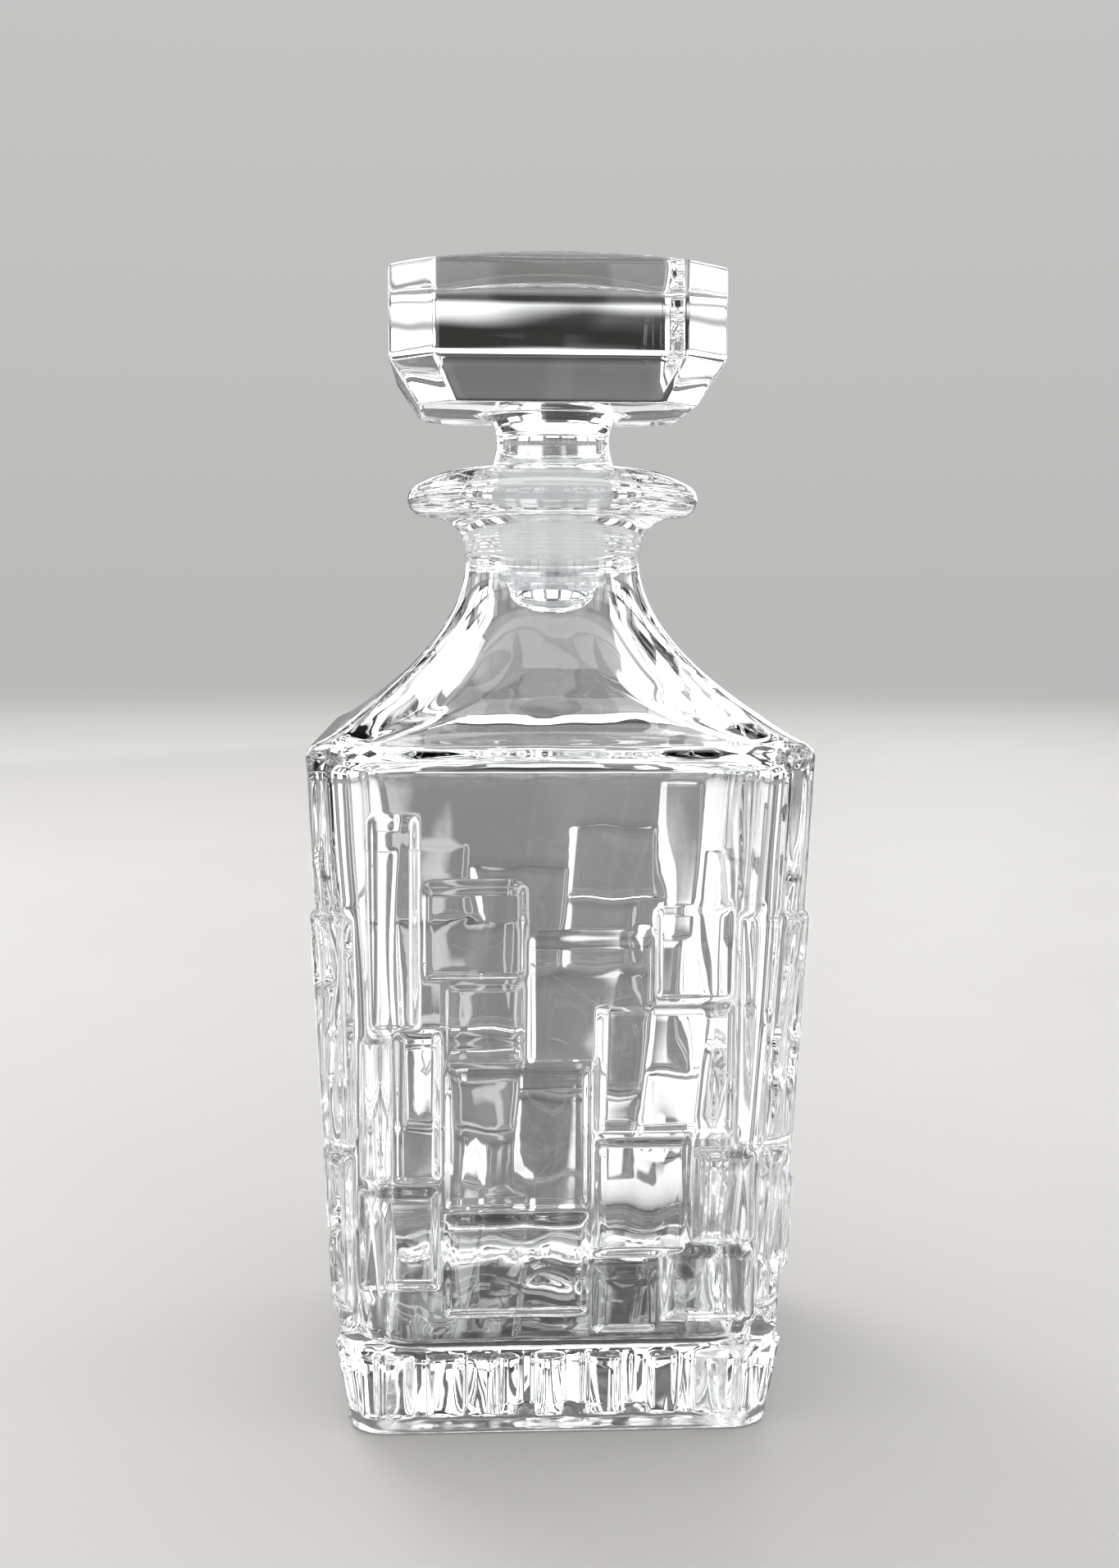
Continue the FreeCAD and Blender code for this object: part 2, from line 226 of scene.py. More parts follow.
# one more square soft box, high behind the decanter
lamp = bpy.data.lights.new("window", "AREA")
lamp.size = 0.5
lamp.energy = 5
window = bpy.data.objects.new("window", lamp)
window.location = (-0.55, 0.75, 1.00)
window.rotation_euler = (Vector((0, 0, 0.05)) - window.location).to_track_quat("-Z", "Y").to_euler()
window.visible_camera = False
bpy.context.scene.collection.objects.link(window)

eye_distance = 0.410
eye_height = 0.1684
swing, tilt, pan, roll = (math.radians(a) for a in (-2.8, -5.8, -0.22, -0.19))
camera = bpy.data.cameras.new("camera")
camera.sensor_width = 36
camera.lens = 43.682
camera.clip_start = 0.01
camera.clip_end = 50
eye = bpy.data.objects.new("camera", camera)
eye.location = (eye_distance * math.sin(swing), -eye_distance * math.cos(swing), eye_height)
eye.rotation_mode = "XYZ"
eye.rotation_euler = (math.pi / 2 + tilt, roll, swing + pan)
bpy.context.scene.collection.objects.link(eye)
bpy.context.scene.camera = eye

cycles = bpy.context.scene.cycles
cycles.max_bounces = 28
cycles.transmission_bounces = 28
cycles.glossy_bounces = 12
cycles.diffuse_bounces = 4
cycles.transparent_max_bounces = 24
cycles.use_denoising = True
bpy.context.scene.view_settings.view_transform = "Standard"

# ---------------------------------------------------------------- bottle
# The bottle is one piece of clear pressed glass with a heavy base. The mould gives all four walls the same
# relief of raised tiles, flutes the base band and turns a thick ring on the lip; the inside is left smooth.

MM = 0.001

# heights, half widths and radii of the foot, base band, walls, shoulder and neck, in millimetres
foot_half = 42.7
band_top = 17.0
shoulder_start = 136.2
shoulder_half = 49.6
wall_heights = [0.8, 3.8, band_top, shoulder_start]
wall_halves = [foot_half, foot_half, 44.2, shoulder_half]
corner = 8.0
standing_corner = 7.0
edge_round = 3.2
neck_start = 174.8
neck_radius = 18.5
turning_start = 139.0
hollowing = 1.9

# the inside: its floor, its straight walls, and the vault that rises from them to the bore in the neck
floor_level = 16.0
hollow_low = 21.0
hollow_low_half = 38.55
hollow_top = 133.4
hollow_top_half = 44.0
inner_corner = 7.0
vault_top = 172.9
vault_radius = 12.8
bore_low = 173.3
bore_low_radius = 12.2
bore_high = 191.6
bore_high_radius = 13.2
lip_top = 194.0


def bore_at(z):
    """Radius of the tapered bore."""
    return bore_low_radius + (bore_high_radius - bore_low_radius) * (z - bore_low) / (bore_high - bore_low)


def quarter(half, radius):
    """Length of one wall and one round corner, a quarter of the way round."""
    return 2 * (half - radius) + radius * math.pi / 2


def ring(half, radius, z, places, out=0.0):
    """Points round a square with round corners, standing out from it by out. Places are measured along a
    wall from its middle and on round its corners, and every wall has the same."""
    flat = half - radius
    turn = np.sign(places) * np.clip((np.abs(places) - flat) / max(radius, 1e-6), 0, None)
    middle = np.clip(places, -flat, flat)
    x = middle + (radius + out) * np.sin(turn)
    y = -flat - (radius + out) * np.cos(turn)
    x, y = np.broadcast_to(x, (4, len(places))), np.broadcast_to(y, (4, len(places)))
    walls = [(x[0], y[0]), (-y[1], x[1]), (-x[2], -y[2]), (y[3], -x[3])]
    x = np.concatenate([w[0] for w in walls])
    y = np.concatenate([w[1] for w in walls])
    return np.stack([x, y, np.broadcast_to(z, x.shape)], 1)


def flowing(knots, pitch):
    """Points along a smooth curve through the knots, about pitch apart."""
    knots = np.array(knots, float)
    far = np.concatenate([[0], np.cumsum(np.linalg.norm(np.diff(knots, axis=0), axis=1))])
    slope = np.gradient(knots, far, axis=0)
    at = np.linspace(0, far[-1], max(2, round(far[-1] / pitch) + 1))
    i = np.clip(np.searchsorted(far, at, side="right") - 1, 0, len(far) - 2)
    gap = (far[i + 1] - far[i])[:, None]
    u = (at - far[i])[:, None] / gap
    return ((2 * u**3 - 3 * u**2 + 1) * knots[i] + (u**3 - 2 * u**2 + u) * gap * slope[i]
            + (3 * u**2 - 2 * u**3) * knots[i + 1] + (u**3 - u**2) * gap * slope[i + 1])


def eased(corners, steps=4):
    """Points along straight lines between corners, each given as its place and how far it is rounded."""
    line = []
    for k, (*place, soft) in enumerate(corners):
        place = np.array(place, float)
        if soft == 0 or k in (0, len(corners) - 1):
            line.append(place)
            continue
        before = np.array(corners[k - 1][:-1], float) - place
        after = np.array(corners[k + 1][:-1], float) - place
        before *= min(soft / np.linalg.norm(before), 0.49)
        after *= min(soft / np.linalg.norm(after), 0.49)
        for t in np.linspace(0, 1, steps + 1):
            line.append(place + before * (1 - t) ** 2 + after * t**2)
    return np.array(line)


def skinned(name, rings, loop=False):
    """One closed mesh over rings of points. A ring may have as many points as the one before it, half or
    twice as many, or only one. With loop, the last ring joins the first."""
    starts = np.concatenate([[0], np.cumsum([len(r) for r in rings])])
    pairs = list(zip(range(len(rings) - 1), range(1, len(rings))))
    if loop:
        pairs.append((len(rings) - 1, 0))
    faces = []
    for low, high in pairs:
        a, b = starts[low], starts[high]
        count, above = len(rings[low]), len(rings[high])
        if count == above:
            faces += [(a + k, a + (k + 1) % count, b + (k + 1) % count, b + k) for k in range(count)]
        elif count == 1:
            faces += [(a, b + (k + 1) % above, b + k) for k in range(above)]
        elif above == 1:
            faces += [(a + k, a + (k + 1) % count, b) for k in range(count)]
        elif count == 2 * above:
            for k in range(above):
                left, middle, right = a + 2 * k, a + 2 * k + 1, a + (2 * k + 2) % count
                up, up_right = b + k, b + (k + 1) % above
                faces += [(left, middle, up), (middle, up_right, up), (middle, right, up_right)]
        else:
            for k in range(count):
                left, middle, right = b + 2 * k, b + 2 * k + 1, b + (2 * k + 2) % above
                down, down_right = a + k, a + (k + 1) % count
                faces += [(down, middle, left), (down, down_right, middle), (down_right, right, middle)]
    mesh = bpy.data.meshes.new(name)
    mesh.from_pydata((np.concatenate(rings) * MM).tolist(), [], [tuple(map(int, f)) for f in faces])
    mesh.polygons.foreach_set("use_smooth", [True] * len(mesh.polygons))
    mesh.update()
    made = bpy.data.objects.new(name, mesh)
    bpy.context.scene.collection.objects.link(made)
    return made


# left, right, bottom and top above the base band, how far it stands proud, its border's width, crown or dish
tiles = [
    (-36.2, -26.9, 65.0, 106.0, 0.85, 1.5, 0.0),
    (-26.5, -7.0, 74.6, 93.0, 0.9, 1.1, -0.12),
    (-22.5, -7.2, 58.2, 74.2, 0.7, 1.5, 0.0),
    (-6.6, 17.0, 58.2, 83.2, 0.8, 1.2, 0.0),
    (17.4, 32.0, 70.6, 88.4, 0.5, 1.2, 0.0),
    (5.8, 32.6, 44.2, 70.0, 1.5, 1.4, -0.2),
    (-38.2, -32.4, 35.6, 63.5, 0.7, 1.2, 0.0),
    (-31.8, -22.9, 35.0, 64.6, 0.9, 1.3, 0.0),
    (-22.6, 5.4, 29.2, 57.8, 1.4, 1.9, 0.1),
    (-38.6, -23.2, 13.6, 34.2, 1.5, 1.7, 0.15),
    (-22.6, 5.4, 8.0, 28.8, 1.2, 1.9, -0.45),
    (6.0, 24.6, 19.8, 43.8, 1.4, 1.6, -0.2),
    (25.0, 37.2, 22.2, 40.8, 1.3, 1.6, 0.2),
    (19.0, 37.0, 6.6, 21.8, 1.3, 1.8, 0.2),
    (5.8, 18.6, 4.4, 18.2, 1.0, 1.7, -0.2),
]
# the tiles are spread by this much, across the wall and up it
across_scale = 1.031
height_scale = 1.026
tiles = [(left * across_scale, right * across_scale, bottom * height_scale, top * height_scale, *rest)
         for left, right, bottom, top, *rest in tiles]
# the same for tiles that wrap round a corner, from one wall to so far before the next wall's middle
corner_tiles = [(34.2, 40.4, 42.7, 89.3, 1.1, 1.4), (39.0, 41.0, 9.2, 41.7, 1.2, 1.4)]
tile_round = 1.2
# left and right of each flute of the base band, and how far its face stands proud on its left and its right
flutes = [
    (-40.4, -36.0, 0.5, 1.1), (-36.0, -29.2, 1.4, 0.6), (-29.2, -26.6, 0.1, 0.4), (-26.6, -19.0, 1.3, 0.5),
    (-19.0, -12.5, 0.4, 1.4), (-12.5, -7.9, 1.1, 0.3), (-7.9, -5.0, 0.1, 0.5), (-5.0, 0.6, 1.4, 0.6),
    (0.6, 4.8, 0.1, 0.6), (4.8, 11.8, 0.5, 1.4), (11.8, 14.7, 0.7, 0.2), (14.7, 17.8, 0.1, 0.5),
    (17.8, 23.4, 1.4, 0.6), (23.4, 26.5, 0.1, 0.5), (26.5, 34.5, 0.5, 1.4), (34.5, 39.2, 1.1, 0.4),
]
flute_border = 0.55
flute_strip = 0.6
flute_low = 3.6
flute_high = 17.4
flute_end = 0.9


def grid_lines(edges, low, high, closest, widest):
    """Lines that follow the edges, each given as its place, the way its border slopes in, and the border's
    width. No two are nearer than closest, and gaps over widest are filled."""
    chosen = [low, high]
    for share in (0.0, 1.0, 0.5, 0.25, 0.75, -0.3):
        for place, inward, border in edges:
            at = place + inward * border * share
            if low < at < high and min(abs(at - other) for other in chosen) > closest:
                chosen.append(at)
    chosen.sort()
    lines = [low]
    for start, end in zip(chosen, chosen[1:]):
        parts = math.ceil((end - start) / widest)
        lines += [start + (end - start) * k / parts for k in range(1, parts + 1)]
    return np.array(lines)


# the mesh follows the relief this far to both sides of each wall's middle, and between these two rows
steady = 40.6
tile_rows = (1.2, 109.5)
upright_edges = []
for left, right, *_, border, _ in tiles:
    upright_edges += [(left, 1, border), (right, -1, border)]
before, after, *_, border = corner_tiles[0]
upright_edges += [(before, 1, border), (-after, -1, border)]
for left, right, *_ in flutes:
    upright_edges += [(left, 1, flute_strip), (right, -1, flute_strip)]
level_edges = []
for _, _, bottom, top, _, border, *_ in tiles + corner_tiles:
    level_edges += [(bottom, 1, border), (top, -1, border)]
wall_lines = grid_lines(upright_edges, -steady, steady, closest=0.5, widest=2.3)
row_lines = band_top + grid_lines(level_edges, *tile_rows, closest=0.48, widest=2.8)
# lines in the middle of a corner, so many that a wall and its corner have a number that divides by four
turn_lines = 8 + (-len(wall_lines) - 8) % 4


def stations(half, radius):
    """Places along a wall and round its right-hand corner, measured from the wall's middle. The lines of the
    relief keep their places at every height, and the few in the middle of the corner take up the rest."""
    spare = quarter(half, radius) - 2 * steady
    return np.concatenate([wall_lines, steady + spare * np.arange(1, turn_lines + 1) / (turn_lines + 1)])


def risen(inside, border):
    """How much of its full height the relief has this far in from its edge, over a border that slopes up."""
    share = np.clip(inside / border, 0, 1)
    return 0.45 * share + 0.55 * share * share * (3 - 2 * share)


def inside_tile(across, upright):
    """How far in from a tile's outline, whose corners are round, from the distances in from its edges."""
    a, b = tile_round - across, tile_round - upright
    return tile_round - np.hypot(np.maximum(a, 0), np.maximum(b, 0)) - np.minimum(np.maximum(a, b), 0)


def relief(places, half, z):
    """How far the mould's relief stands out of one wall and its corner, at places and heights z that are
    rows and columns."""
    onward = places - quarter(half, corner)
    height = z - band_top
    proud = np.zeros(places.shape)
    for left, right, bottom, top, stand, border, crown in tiles:
        upright = np.minimum(height - bottom, top - height)
        for along in (places, onward):
            across = np.minimum(along - left, right - along)
            rise = risen(inside_tile(across, upright), border)
            full = 4 * np.clip(across / (right - left), 0, 0.5) * np.clip(upright / (top - bottom), 0, 0.5)
            proud = np.maximum(proud, stand * rise + crown * full * (2 - full) * (rise > 0))
    for before, after, bottom, top, stand, border in corner_tiles:
        across = np.minimum(places - before, -after - onward)
        upright = np.minimum(height - bottom, top - height)
        proud = np.maximum(proud, stand * risen(inside_tile(across, upright), border))
    deepening = 0.35 + 0.65 * np.clip((z - 4.1) / 11.6, 0, 1)
    ends = np.clip((z - flute_low) / flute_end, 0, 1) * np.clip((flute_high - z) / flute_end, 0, 1)
    for left, right, stand, far_stand in flutes:
        for along in (places, onward):
            across = np.minimum(along - left, right - along)
            face = stand + (far_stand - stand) * np.clip((along - left) / (right - left), 0, 1)
            proud = np.maximum(proud, face * deepening * ends * risen(across, flute_border))
    return proud


def ripple(places, z, size, seed, height):
    """Slow upright waves that the mould and the fire leave in glass, different on each wall."""
    dice = np.random.default_rng(seed)
    wave = np.zeros((4, len(places)))
    for wall in range(4):
        for _ in range(5):
            u, v = dice.normal(0, 1 / size), dice.normal(0, 0.3 / size)
            wave[wall] += np.sin(places * u * 2 * math.pi + z * v * 2 * math.pi + dice.uniform(0, 6.3))
    fade = np.clip((places - places[0]) / 6, 0, 1) * np.clip((places[-1] - places) / 6, 0, 1)
    return wave * fade * height / 2.2


# shares of a quarter of the way round: half the relief's lines, evenly spaced ones, and ones for the inside
lines = stations(shoulder_half, corner) / quarter(shoulder_half, corner)
sparse = lines[::2]
even = np.arange(len(sparse)) / len(sparse) - 0.5
smooth_wall = np.concatenate([np.linspace(-0.43, 0.43, len(sparse) - 13), np.linspace(0.43, 0.57, 15)[1:-1]])


def spread(half, radius, z, share):
    """A ring whose points keep their shares of the way round."""
    return ring(half, radius, z, share * quarter(half, radius))


def inner_ring(half, radius, z, share, depth):
    """A ring of the inside, with waves of this depth in the glass."""
    places = share * quarter(half, radius)
    return ring(half, radius, z, places, -ripple(places, z, size=22, seed=11, height=depth))


def rounded(z, height):
    """How far a shoulder's outline has turned from square to round, from 0 to 1 over this height."""
    return np.clip((z - turning_start) / height, 0, 1) ** 1.2


def sweep(half, z, radius, top_radius, top_z):
    """Half width, corner radius and height up over a shoulder's soft edge and its hollow sweep."""
    knots = [(half, radius, z)]
    for degrees in (25, 50):
        turn = math.radians(degrees)
        knots.append((half - edge_round * (1 - math.cos(turn)), radius, z + edge_round * math.sin(turn)))
    for share in np.linspace(0, 1, 9):
        wide = top_radius + (half - edge_round * 0.85 - top_radius) * (1 - share) ** hollowing
        blend = 1 - (1 - share) ** 2
        knots.append((wide, radius + (wide - 0.25 - radius) * blend,
                      z + edge_round + (top_z - z - edge_round) * share))
    return flowing(knots, 1.25)


def underside():
    """The bottom, a little hollow inside its standing ring, and the edge that turns up into the foot."""
    rings = [np.array([[0.0, 0.0, 1.1]])]
    for half, z in ((4, 1.1), (14, 1.05), (25, 0.85), (34, 0.5), (37.2, 0.12), (38.4, 0.0), (41.2, 0.0)):
        rings.append(spread(half, min(half * 0.9, standing_corner), z, sparse))
    for half, z in ((41.7, 0.03), (42.15, 0.18), (42.5, 0.45), (foot_half, 0.9)):
        rings.append(ring(half, corner, z, stations(half, corner)))
    return rings


def outer_walls():
    """Foot, fluted band and the four walls with their tiles. The tallest faces are set back a little, so
    that the waves on them stay within the design."""
    set_back = 0.05
    heights = np.concatenate([
        [1.9, 3.0, 3.7, 4.1, 4.7], np.linspace(6.2, 14.8, 7), [15.7, 16.3, 16.8, 17.25, 17.7],
        row_lines, np.linspace(127.9, shoulder_start, 6)])
    halves = np.interp(heights, wall_heights, wall_halves)
    places = np.array([stations(half, corner) for half in halves])
    proud = relief(places, halves[:, None], heights[:, None])
    rings = []
    for z, half, row, stand in zip(heights, halves, places, proud):
        fade = np.clip((z - 4) / 14, 0, 1) * np.clip((shoulder_start - z) / 8, 0, 1)
        wave = ripple(row, z, size=34, seed=5, height=0.03) * fade
        rings.append(ring(half, corner, z, row, stand + wave - set_back * (stand > 0.8)))
    return rings


def outer_shoulder():
    """The shoulder, where the square turns round as it narrows."""
    rings = []
    for half, radius, z in sweep(shoulder_half, shoulder_start, corner, neck_radius, neck_start)[1:]:
        blend = rounded(z, 33)
        rings.append(spread(half, radius, z, sparse * (1 - blend) + even * blend))
    return rings


def neck_and_lip():
    """Round neck, its flare, the thick ring of the lip, the seat of the sleeve's flange and the bore."""
    flare = flowing([(18.75, 177.4), (19.35, 179.9), (21.0, 182.0), (23.8, 183.4), (27.0, 184.0)], 0.9)
    ring_radius, ring_middle = 27.1, 187.55
    ring_width, ring_height = 3.7, 3.55
    edge = [(ring_radius + ring_width * math.sin(angle), ring_middle - ring_height * math.cos(angle))
            for angle in np.linspace(0.2, 2.45, 15)]
    crest = flowing([
        edge[-1], (27.4, 191.45), (24.4, 192.75), (20.8, 193.7), (17.6, 194.08), (15.6, lip_top)], 1.2)
    mouth = eased([
        (15.6, lip_top, 0), (15.1, 193.75, 0.5), (15.1, bore_high, 0.25),
        (bore_high_radius, bore_high, 0.25), (bore_low_radius, bore_low, 0.0)])
    profile = [(18.62, 175.5), (18.75, 176.4)] + flare.tolist() + edge + crest[1:].tolist()
    profile += mouth[1:].tolist() + [(12.45, 173.05)]
    return [spread(radius, radius, z, even) for radius, z in profile]


def inside():
    """Vault under the shoulder, smooth walls, and a soft floor with a small bump left in its middle."""
    high_wave = 0.16
    low_wave = 0.46
    rings = []
    for half, radius, z in sweep(hollow_top_half, hollow_top, inner_corner, vault_radius, vault_top)[::-1]:
        blend = rounded(z, 31)
        share = smooth_wall * (1 - blend) + even * blend
        rings.append(inner_ring(half, radius, z, share, high_wave * np.clip((150 - z) / 14, 0, 1)))
    for z in np.linspace(130.4, 22.4, 34):
        half = np.interp(z, (hollow_low, hollow_top), (hollow_low_half, hollow_top_half))
        depth = np.interp(z, (30, 90), (low_wave, high_wave))
        rings.append(inner_ring(half, inner_corner, z, smooth_wall, depth))
    turned_in = [(38.5, 20.6), (38.1, 18.7), (36.9, 17.3), (34.8, 16.45), (31, 16.05), (24, floor_level)]
    for half, z in flowing(turned_in, 1.1):
        depth = low_wave * np.clip((z - floor_level) / 5, 0, 1)
        rings.append(inner_ring(half, inner_corner, z, smooth_wall, depth))
    bump = 1.25
    for half in (19, 15, 12, 9.6, 8, 6.8, 5.8, 4.8, 3.9, 3, 2.1, 1.2):
        z = floor_level + bump * math.exp(-(half / 3.1) ** 2) + 0.12 * math.sin(half * 0.7)
        rings.append(spread(half, half * np.clip((30 - half) / 14, 0.25, 1), z, smooth_wall))
    return rings + [np.array([[0.0, 0.0, floor_level + bump]])]


def glass(name, tint, wave_strength):
    """Clear pressed glass with the slow waves of fire polish, rubbed dull where it stands on the table."""
    made, shader, place = finish_called(name, IOR=1.52, Transmission_Weight=1.0, Roughness=0.0)
    fine = place.node("TexNoise", {}, {"Vector": place, "Scale": 420.0, "Detail": 2.0})
    rubbed = 1 - place.part("Z").between(0.0002, 0.0011)
    (rubbed * fine * 0.22).into(shader, "Roughness")
    cloud = place.node("TexNoise", {}, {"Vector": place, "Scale": 6.0, "Detail": 1.0})
    cloud.mixed(tint, (0.985, 0.99, 0.992)).into(shader, "Base Color")
    waves = place.node("TexNoise", {}, {"Vector": place, "Scale": 30.0, "Detail": 1.5})
    bump = place.node("Bump", {}, {"Height": waves, "Strength": wave_strength, "Distance": 0.0009})
    bump.into(shader, "Normal")
    return made


bottle = skinned(
    "bottle_glass_body", underside() + outer_walls() + outer_shoulder() + neck_and_lip() + inside())
bottle.data.materials.append(glass("clear_pressed_glass", (0.968, 0.978, 0.98), 0.25))
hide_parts("bottle")
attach(bottle, "bottle")

# ---------------------------------------------------------------- sealing sleeve
# A soft milky plastic sleeve that grips the stopper's plug. It is moulded with fine ribs that press on the
# bore, a thin flange that lies in the mouth, and a bead round its lower end; it is pushed on by hand.

sleeve_low = 169.5
sleeve_inset = 1.22
flange_low = 191.72
flange_top = 192.79
flange_radius = 14.8
rib_start = 176.0
rib_count = 15
rib_pitch = 1.02
rib_depth = 0.035
rib_press = 0.05
rib_slack = 0.04
loose_above = 184.5
running_gap = 0.08


def narrowed(z):
    """Radius of the bore where the ribs start, less what the sleeve narrows below them."""
    return bore_at(rib_start) - 1.05 * (rib_start - z) / 6.5


def rib(low):
    """One rib, flat where it presses on the bore. The upper ones stand just clear of it."""
    crest = bore_at(low) + (rib_press if low < loose_above else -rib_slack)
    foot = crest - rib_depth
    return [(foot, low), (crest, low + 0.16), (crest, low + 0.82), (foot, low + 0.92)]


def mould_sleeve():
    """The outside from the bead up over the ribs to the flange, and the inside down along the plug."""
    profile = [(10.2, sleeve_low + 0.05), (11.1, sleeve_low), (11.32, 169.8), (11.32, 170.5)]
    profile += [(11.12, 170.85)]
    profile += [(narrowed(z) - running_gap, z) for z in np.linspace(171.2, 175.6, 7)]
    for k in range(rib_count):
        profile += rib(rib_start + k * rib_pitch)
    profile += [(bore_at(191.4) - 0.1, 191.5), (13.3, flange_low), (14.6, flange_low)]
    profile += [(flange_radius, 191.9), (flange_radius, 192.6), (14.6, flange_top)]
    profile += [(12.3, flange_top), (12.05, 192.6), (bore_at(191) - 1.2, 190.6)]
    profile += [(bore_at(z) - sleeve_inset, z) for z in np.linspace(188, rib_start, 6)]
    profile += [(narrowed(z) - sleeve_inset, z) for z in np.linspace(174, 170, 4)]
    spokes = 144
    turn = 2 * math.pi * np.arange(spokes) / spokes
    rings = [np.stack([r * np.cos(turn), r * np.sin(turn), np.full(spokes, z)], 1) for r, z in profile]
    return skinned("plastic_sleeve", rings, loop=True)


def milky_plastic():
    """Milky where it is thick and ribbed, clearer towards the flange and below the ribs, and milky again at
    the bead. Its faint glow is painted light, standing for light that scatters inside it."""
    # painted light: the sleeve glows faintly though it is no lamp
    made, shader, place = finish_called(
        "milky_soft_plastic", IOR=1.5, Emission_Color=(0.9, 0.93, 0.95, 1), Emission_Strength=0.24)
    level = place.part("Z")
    cloud = place.node("TexNoise", {}, {"Vector": place, "Scale": 160.0, "Detail": 4.0})
    line = place.node("TexWave", {"bands_direction": "Z"}, {
        "Vector": place, "Scale": 620.0, "Distortion": 0.3})
    (0.42 + cloud * 0.12 + line * 0.05).into(shader, "Roughness")
    cloud.mixed((0.86, 0.865, 0.87), (0.91, 0.915, 0.92)).into(shader, "Base Color")
    dents = place.node("Bump", {}, {
        "Height": line * 0.4 + cloud * 0.6, "Strength": 0.3, "Distance": 0.0001})
    dents.into(shader, "Normal")
    clear = made.node_tree.nodes.new("ShaderNodeBsdfPrincipled")
    clear.inputs["Transmission Weight"].default_value = 1.0
    clear.inputs["IOR"].default_value = 1.5
    (0.12 + cloud * 0.1).into(clear, "Roughness")
    thick = level.between(0.1735, 0.1765) * (1 - level.between(0.1845, 0.1875) * 0.55)
    bead = 1 - level.between(0.1706, 0.1712)
    milk = place.node("MixShader", {}, {
        0: thick + bead * 0.6, 1: Wire(clear.outputs["BSDF"]), 2: Wire(shader.outputs["BSDF"])})
    milk.into(made.node_tree.nodes["Material Output"], "Surface")
    return made


sleeve = mould_sleeve()
sleeve.data.materials.append(milky_plastic())
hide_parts("sealing_sleeve")
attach(sleeve, "sleeve")

# ---------------------------------------------------------------- stopper
# The stopper is pressed as one solid piece of the same clear glass: a square head with cut corners, bevelled
# below and gently domed on top, a waisted stem, and a plug whose tip is left round where it left the mould.

tip_radius = 9.0
tip_middle = 166.65
tip_depth = 4.55
plug_inset = 1.3
stem_low = 192.92
neck_ring = 13.28
stem_top = 205.1
stem_top_radius = 15.2
bevel_low = 205.5
bevel_low_half = 27.6
bevel_low_cut = 7.4
head_half = 33.9
head_cut = 9.2
crown = 236.2
dome_sphere = 230.0


def cut_square(half, cut):
    """Outline of a square with cut corners, its eight upright edges softened."""
    soft = 1.0
    flat = half - cut
    first, middle, last = (np.array(p) for p in ((-flat, -half), (flat, -half), (half, -flat)))
    steps = np.linspace(0, 1, 5)
    ends = []
    for place, before, after in ((middle, first, last), (last, middle, np.array((half, flat)))):
        back, on = before - place, after - place
        back, on = back / np.linalg.norm(back) * soft, on / np.linalg.norm(on) * soft
        ends.append([place + back * (1 - t) ** 2 + on * t * t for t in steps])
    side = [np.array((x, -half)) for x in np.linspace(-flat + soft, flat - soft, 25)[:-1]]
    slant = [ends[0][-1] + (ends[1][0] - ends[0][-1]) * t for t in np.linspace(0, 1, 9)[1:-1]]
    x, y = np.array(side + ends[0] + slant + ends[1][:-1]).T
    return np.concatenate([np.stack(p, 1) for p in ((x, y), (-y, x), (-x, -y), (y, -x))])


# the ways from the axis to the points of the head's outline, which every ring of the stopper keeps
outline = cut_square(head_half, head_cut)
ways = outline / np.linalg.norm(outline, axis=1)[:, None]
dice = np.random.default_rng(3)
bends = [(dice.normal(0, 0.045, 3), dice.uniform(0, 6.3)) for _ in range(6)]


def wavy(points, height):
    """How far slow waves lift the glass at these points."""
    swell = sum(np.sin(points @ way * 2 * math.pi / 1.4 + start) for way, start in bends)
    return swell * height / 3


def level_ring(flat_points, z):
    return np.column_stack([flat_points, np.full(len(flat_points), z)])


def domed(points):
    """Height of the domed crown over these points."""
    return crown - (points[:, :2] ** 2).sum(1) / (2 * dome_sphere)


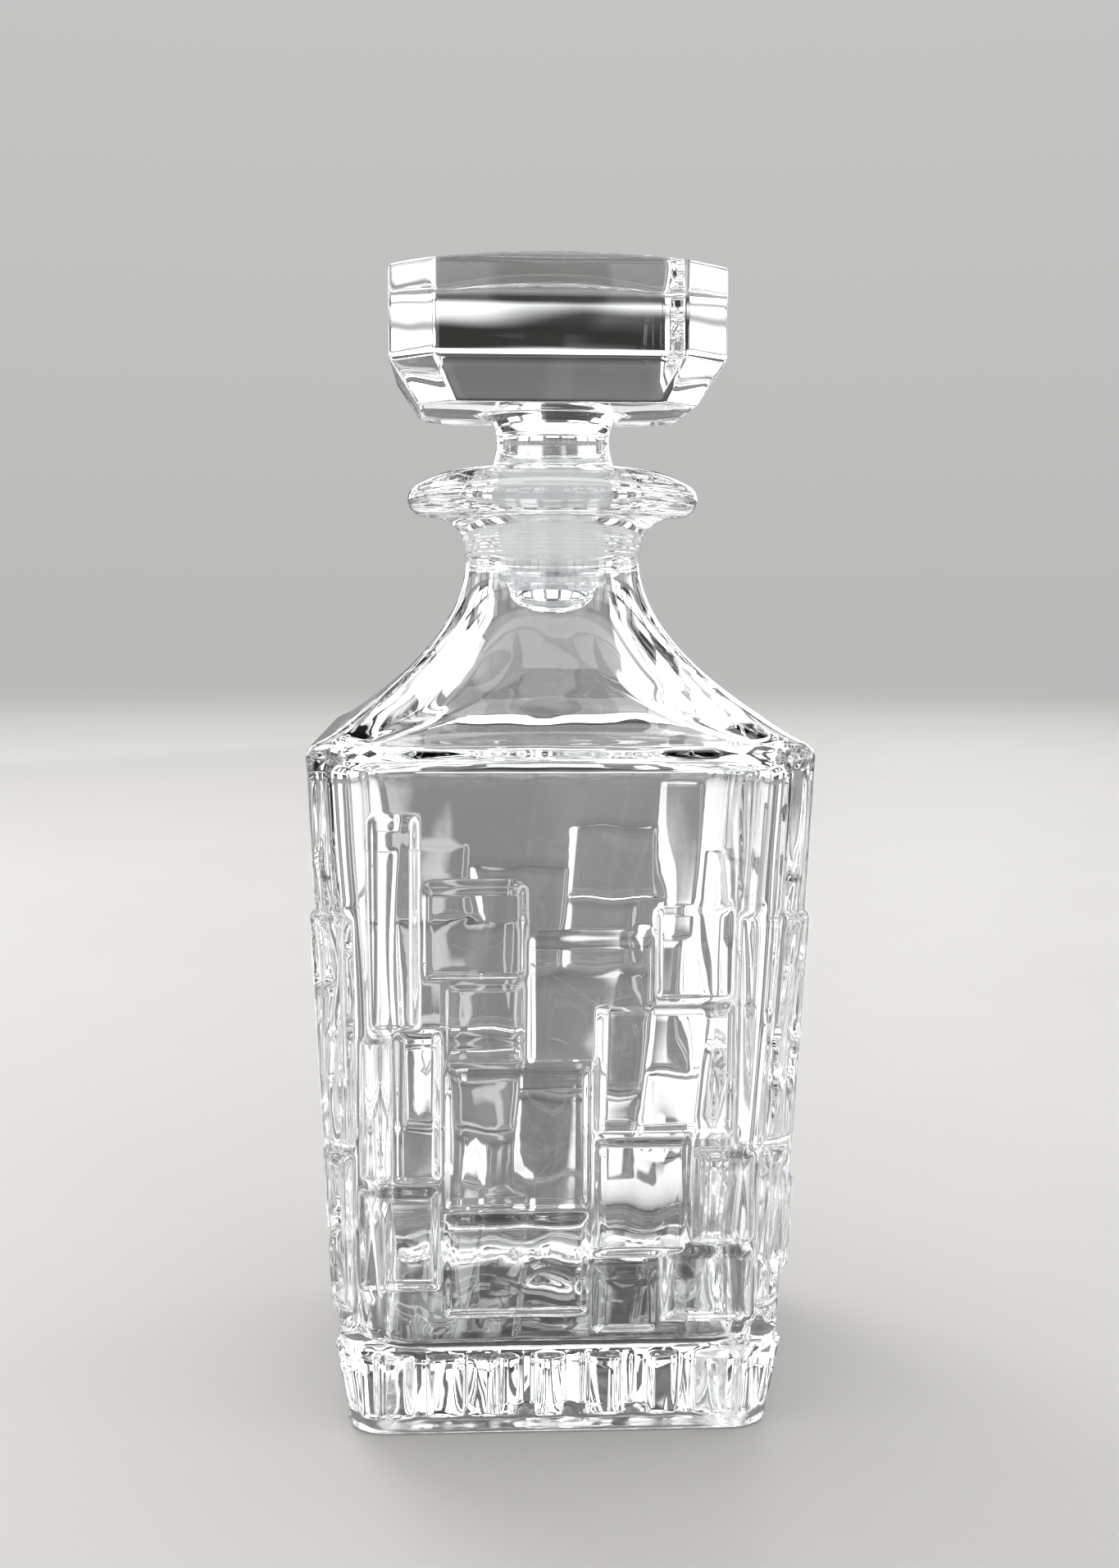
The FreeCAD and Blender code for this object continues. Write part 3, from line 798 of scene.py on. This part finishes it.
def plug_and_stem():
    """The round tip, the tapered plug inside its sleeve, and the waisted stem."""
    angles = np.linspace(0.12, math.pi / 2, 14)
    tip = [(tip_radius * math.sin(angle), tip_middle - tip_depth * math.cos(angle)) for angle in angles]
    plug = eased([
        (tip_radius, 166.7, 0), (10.0, 169.5, 0.6), (bore_at(rib_start) - plug_inset, rib_start, 0.8),
        (bore_at(bore_high) - plug_inset, bore_high, 0), (bore_at(192) - plug_inset, stem_low, 0.12),
        (13.2, stem_low, 0.25), (neck_ring, 193.35, 0)])
    stem = flowing([
        (neck_ring, 193.35), (12.45, 196.3), (11.95, 198.8), (11.95, 201.0), (12.9, 203.4),
        (stem_top_radius, stem_top)], 0.5)
    profile = tip + plug[1:].tolist() + stem[1:].tolist()
    lowest = np.array([[0.0, 0.0, tip_middle - tip_depth]])
    return [lowest] + [level_ring(ways * radius, z) for radius, z in profile]


def head_underside():
    """The flat underside, where the round stem turns into the head's outline."""
    outer = cut_square(bevel_low_half, bevel_low_cut)
    return [level_ring(ways * stem_top_radius * (1 - share) + outer * share, stem_top + 0.4 * share ** 0.5)
            for share in (0.12, 0.28, 0.46, 0.64, 0.82, 0.94)]


def head_sides():
    """The bevel and the upright facets, up to where the crown's dome takes over. The faces are set back a
    little, so that the waves on them stay within the design."""
    set_back = 0.12
    profile = eased([
        (bevel_low_half, bevel_low_cut, bevel_low, 0), (28.3, 7.6, bevel_low, 0.9),
        (head_half, head_cut, 214.2, 0.9), (head_half, head_cut, 232.4, 1.3), (32.1, 9.0, crown, 0)], 5)
    finer = []
    for start, end in zip(profile, profile[1:]):
        parts = max(1, round(np.linalg.norm(end - start) / 1.3))
        finer += [start + (end - start) * k / parts for k in range(parts)]
    rings = []
    for half, cut, z in finer[1:]:
        points = level_ring(cut_square(half, cut), z)
        wave = wavy(points, 0.02)[:, None] * np.clip((half - 28) / 4, 0, 1)
        points[:, :2] += ways * wave - ways * set_back
        points[:, 2] = np.minimum(points[:, 2], domed(points))
        if z < 235:
            rings.append(points)
    return rings


def head_crown():
    """The gentle dome, rolled down a little at its rim."""
    rim = cut_square(32.6, 9.1)
    rings = []
    for share in (1.0, 0.985, 0.96, 0.92, 0.86, 0.78, 0.7, 0.6, 0.5, 0.4, 0.3, 0.2, 0.12, 0.06):
        points = level_ring(rim * share, 0)
        points[:, 2] = domed(points)
        points[:, 2] -= 0.05 + 0.25 * np.clip((share - 0.95) / 0.05, 0, 1) ** 2 - wavy(points, 0.03)
        rings.append(points)
    return rings + [np.array([[0.0, 0.0, crown - 0.03]])]


stopper = skinned("stopper_glass_body", plug_and_stem() + head_underside() + head_sides() + head_crown())
stopper.data.materials.append(glass("clear_stopper_glass", (0.972, 0.98, 0.982), 0.05))
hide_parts("stopper")
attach(stopper, "stopper")
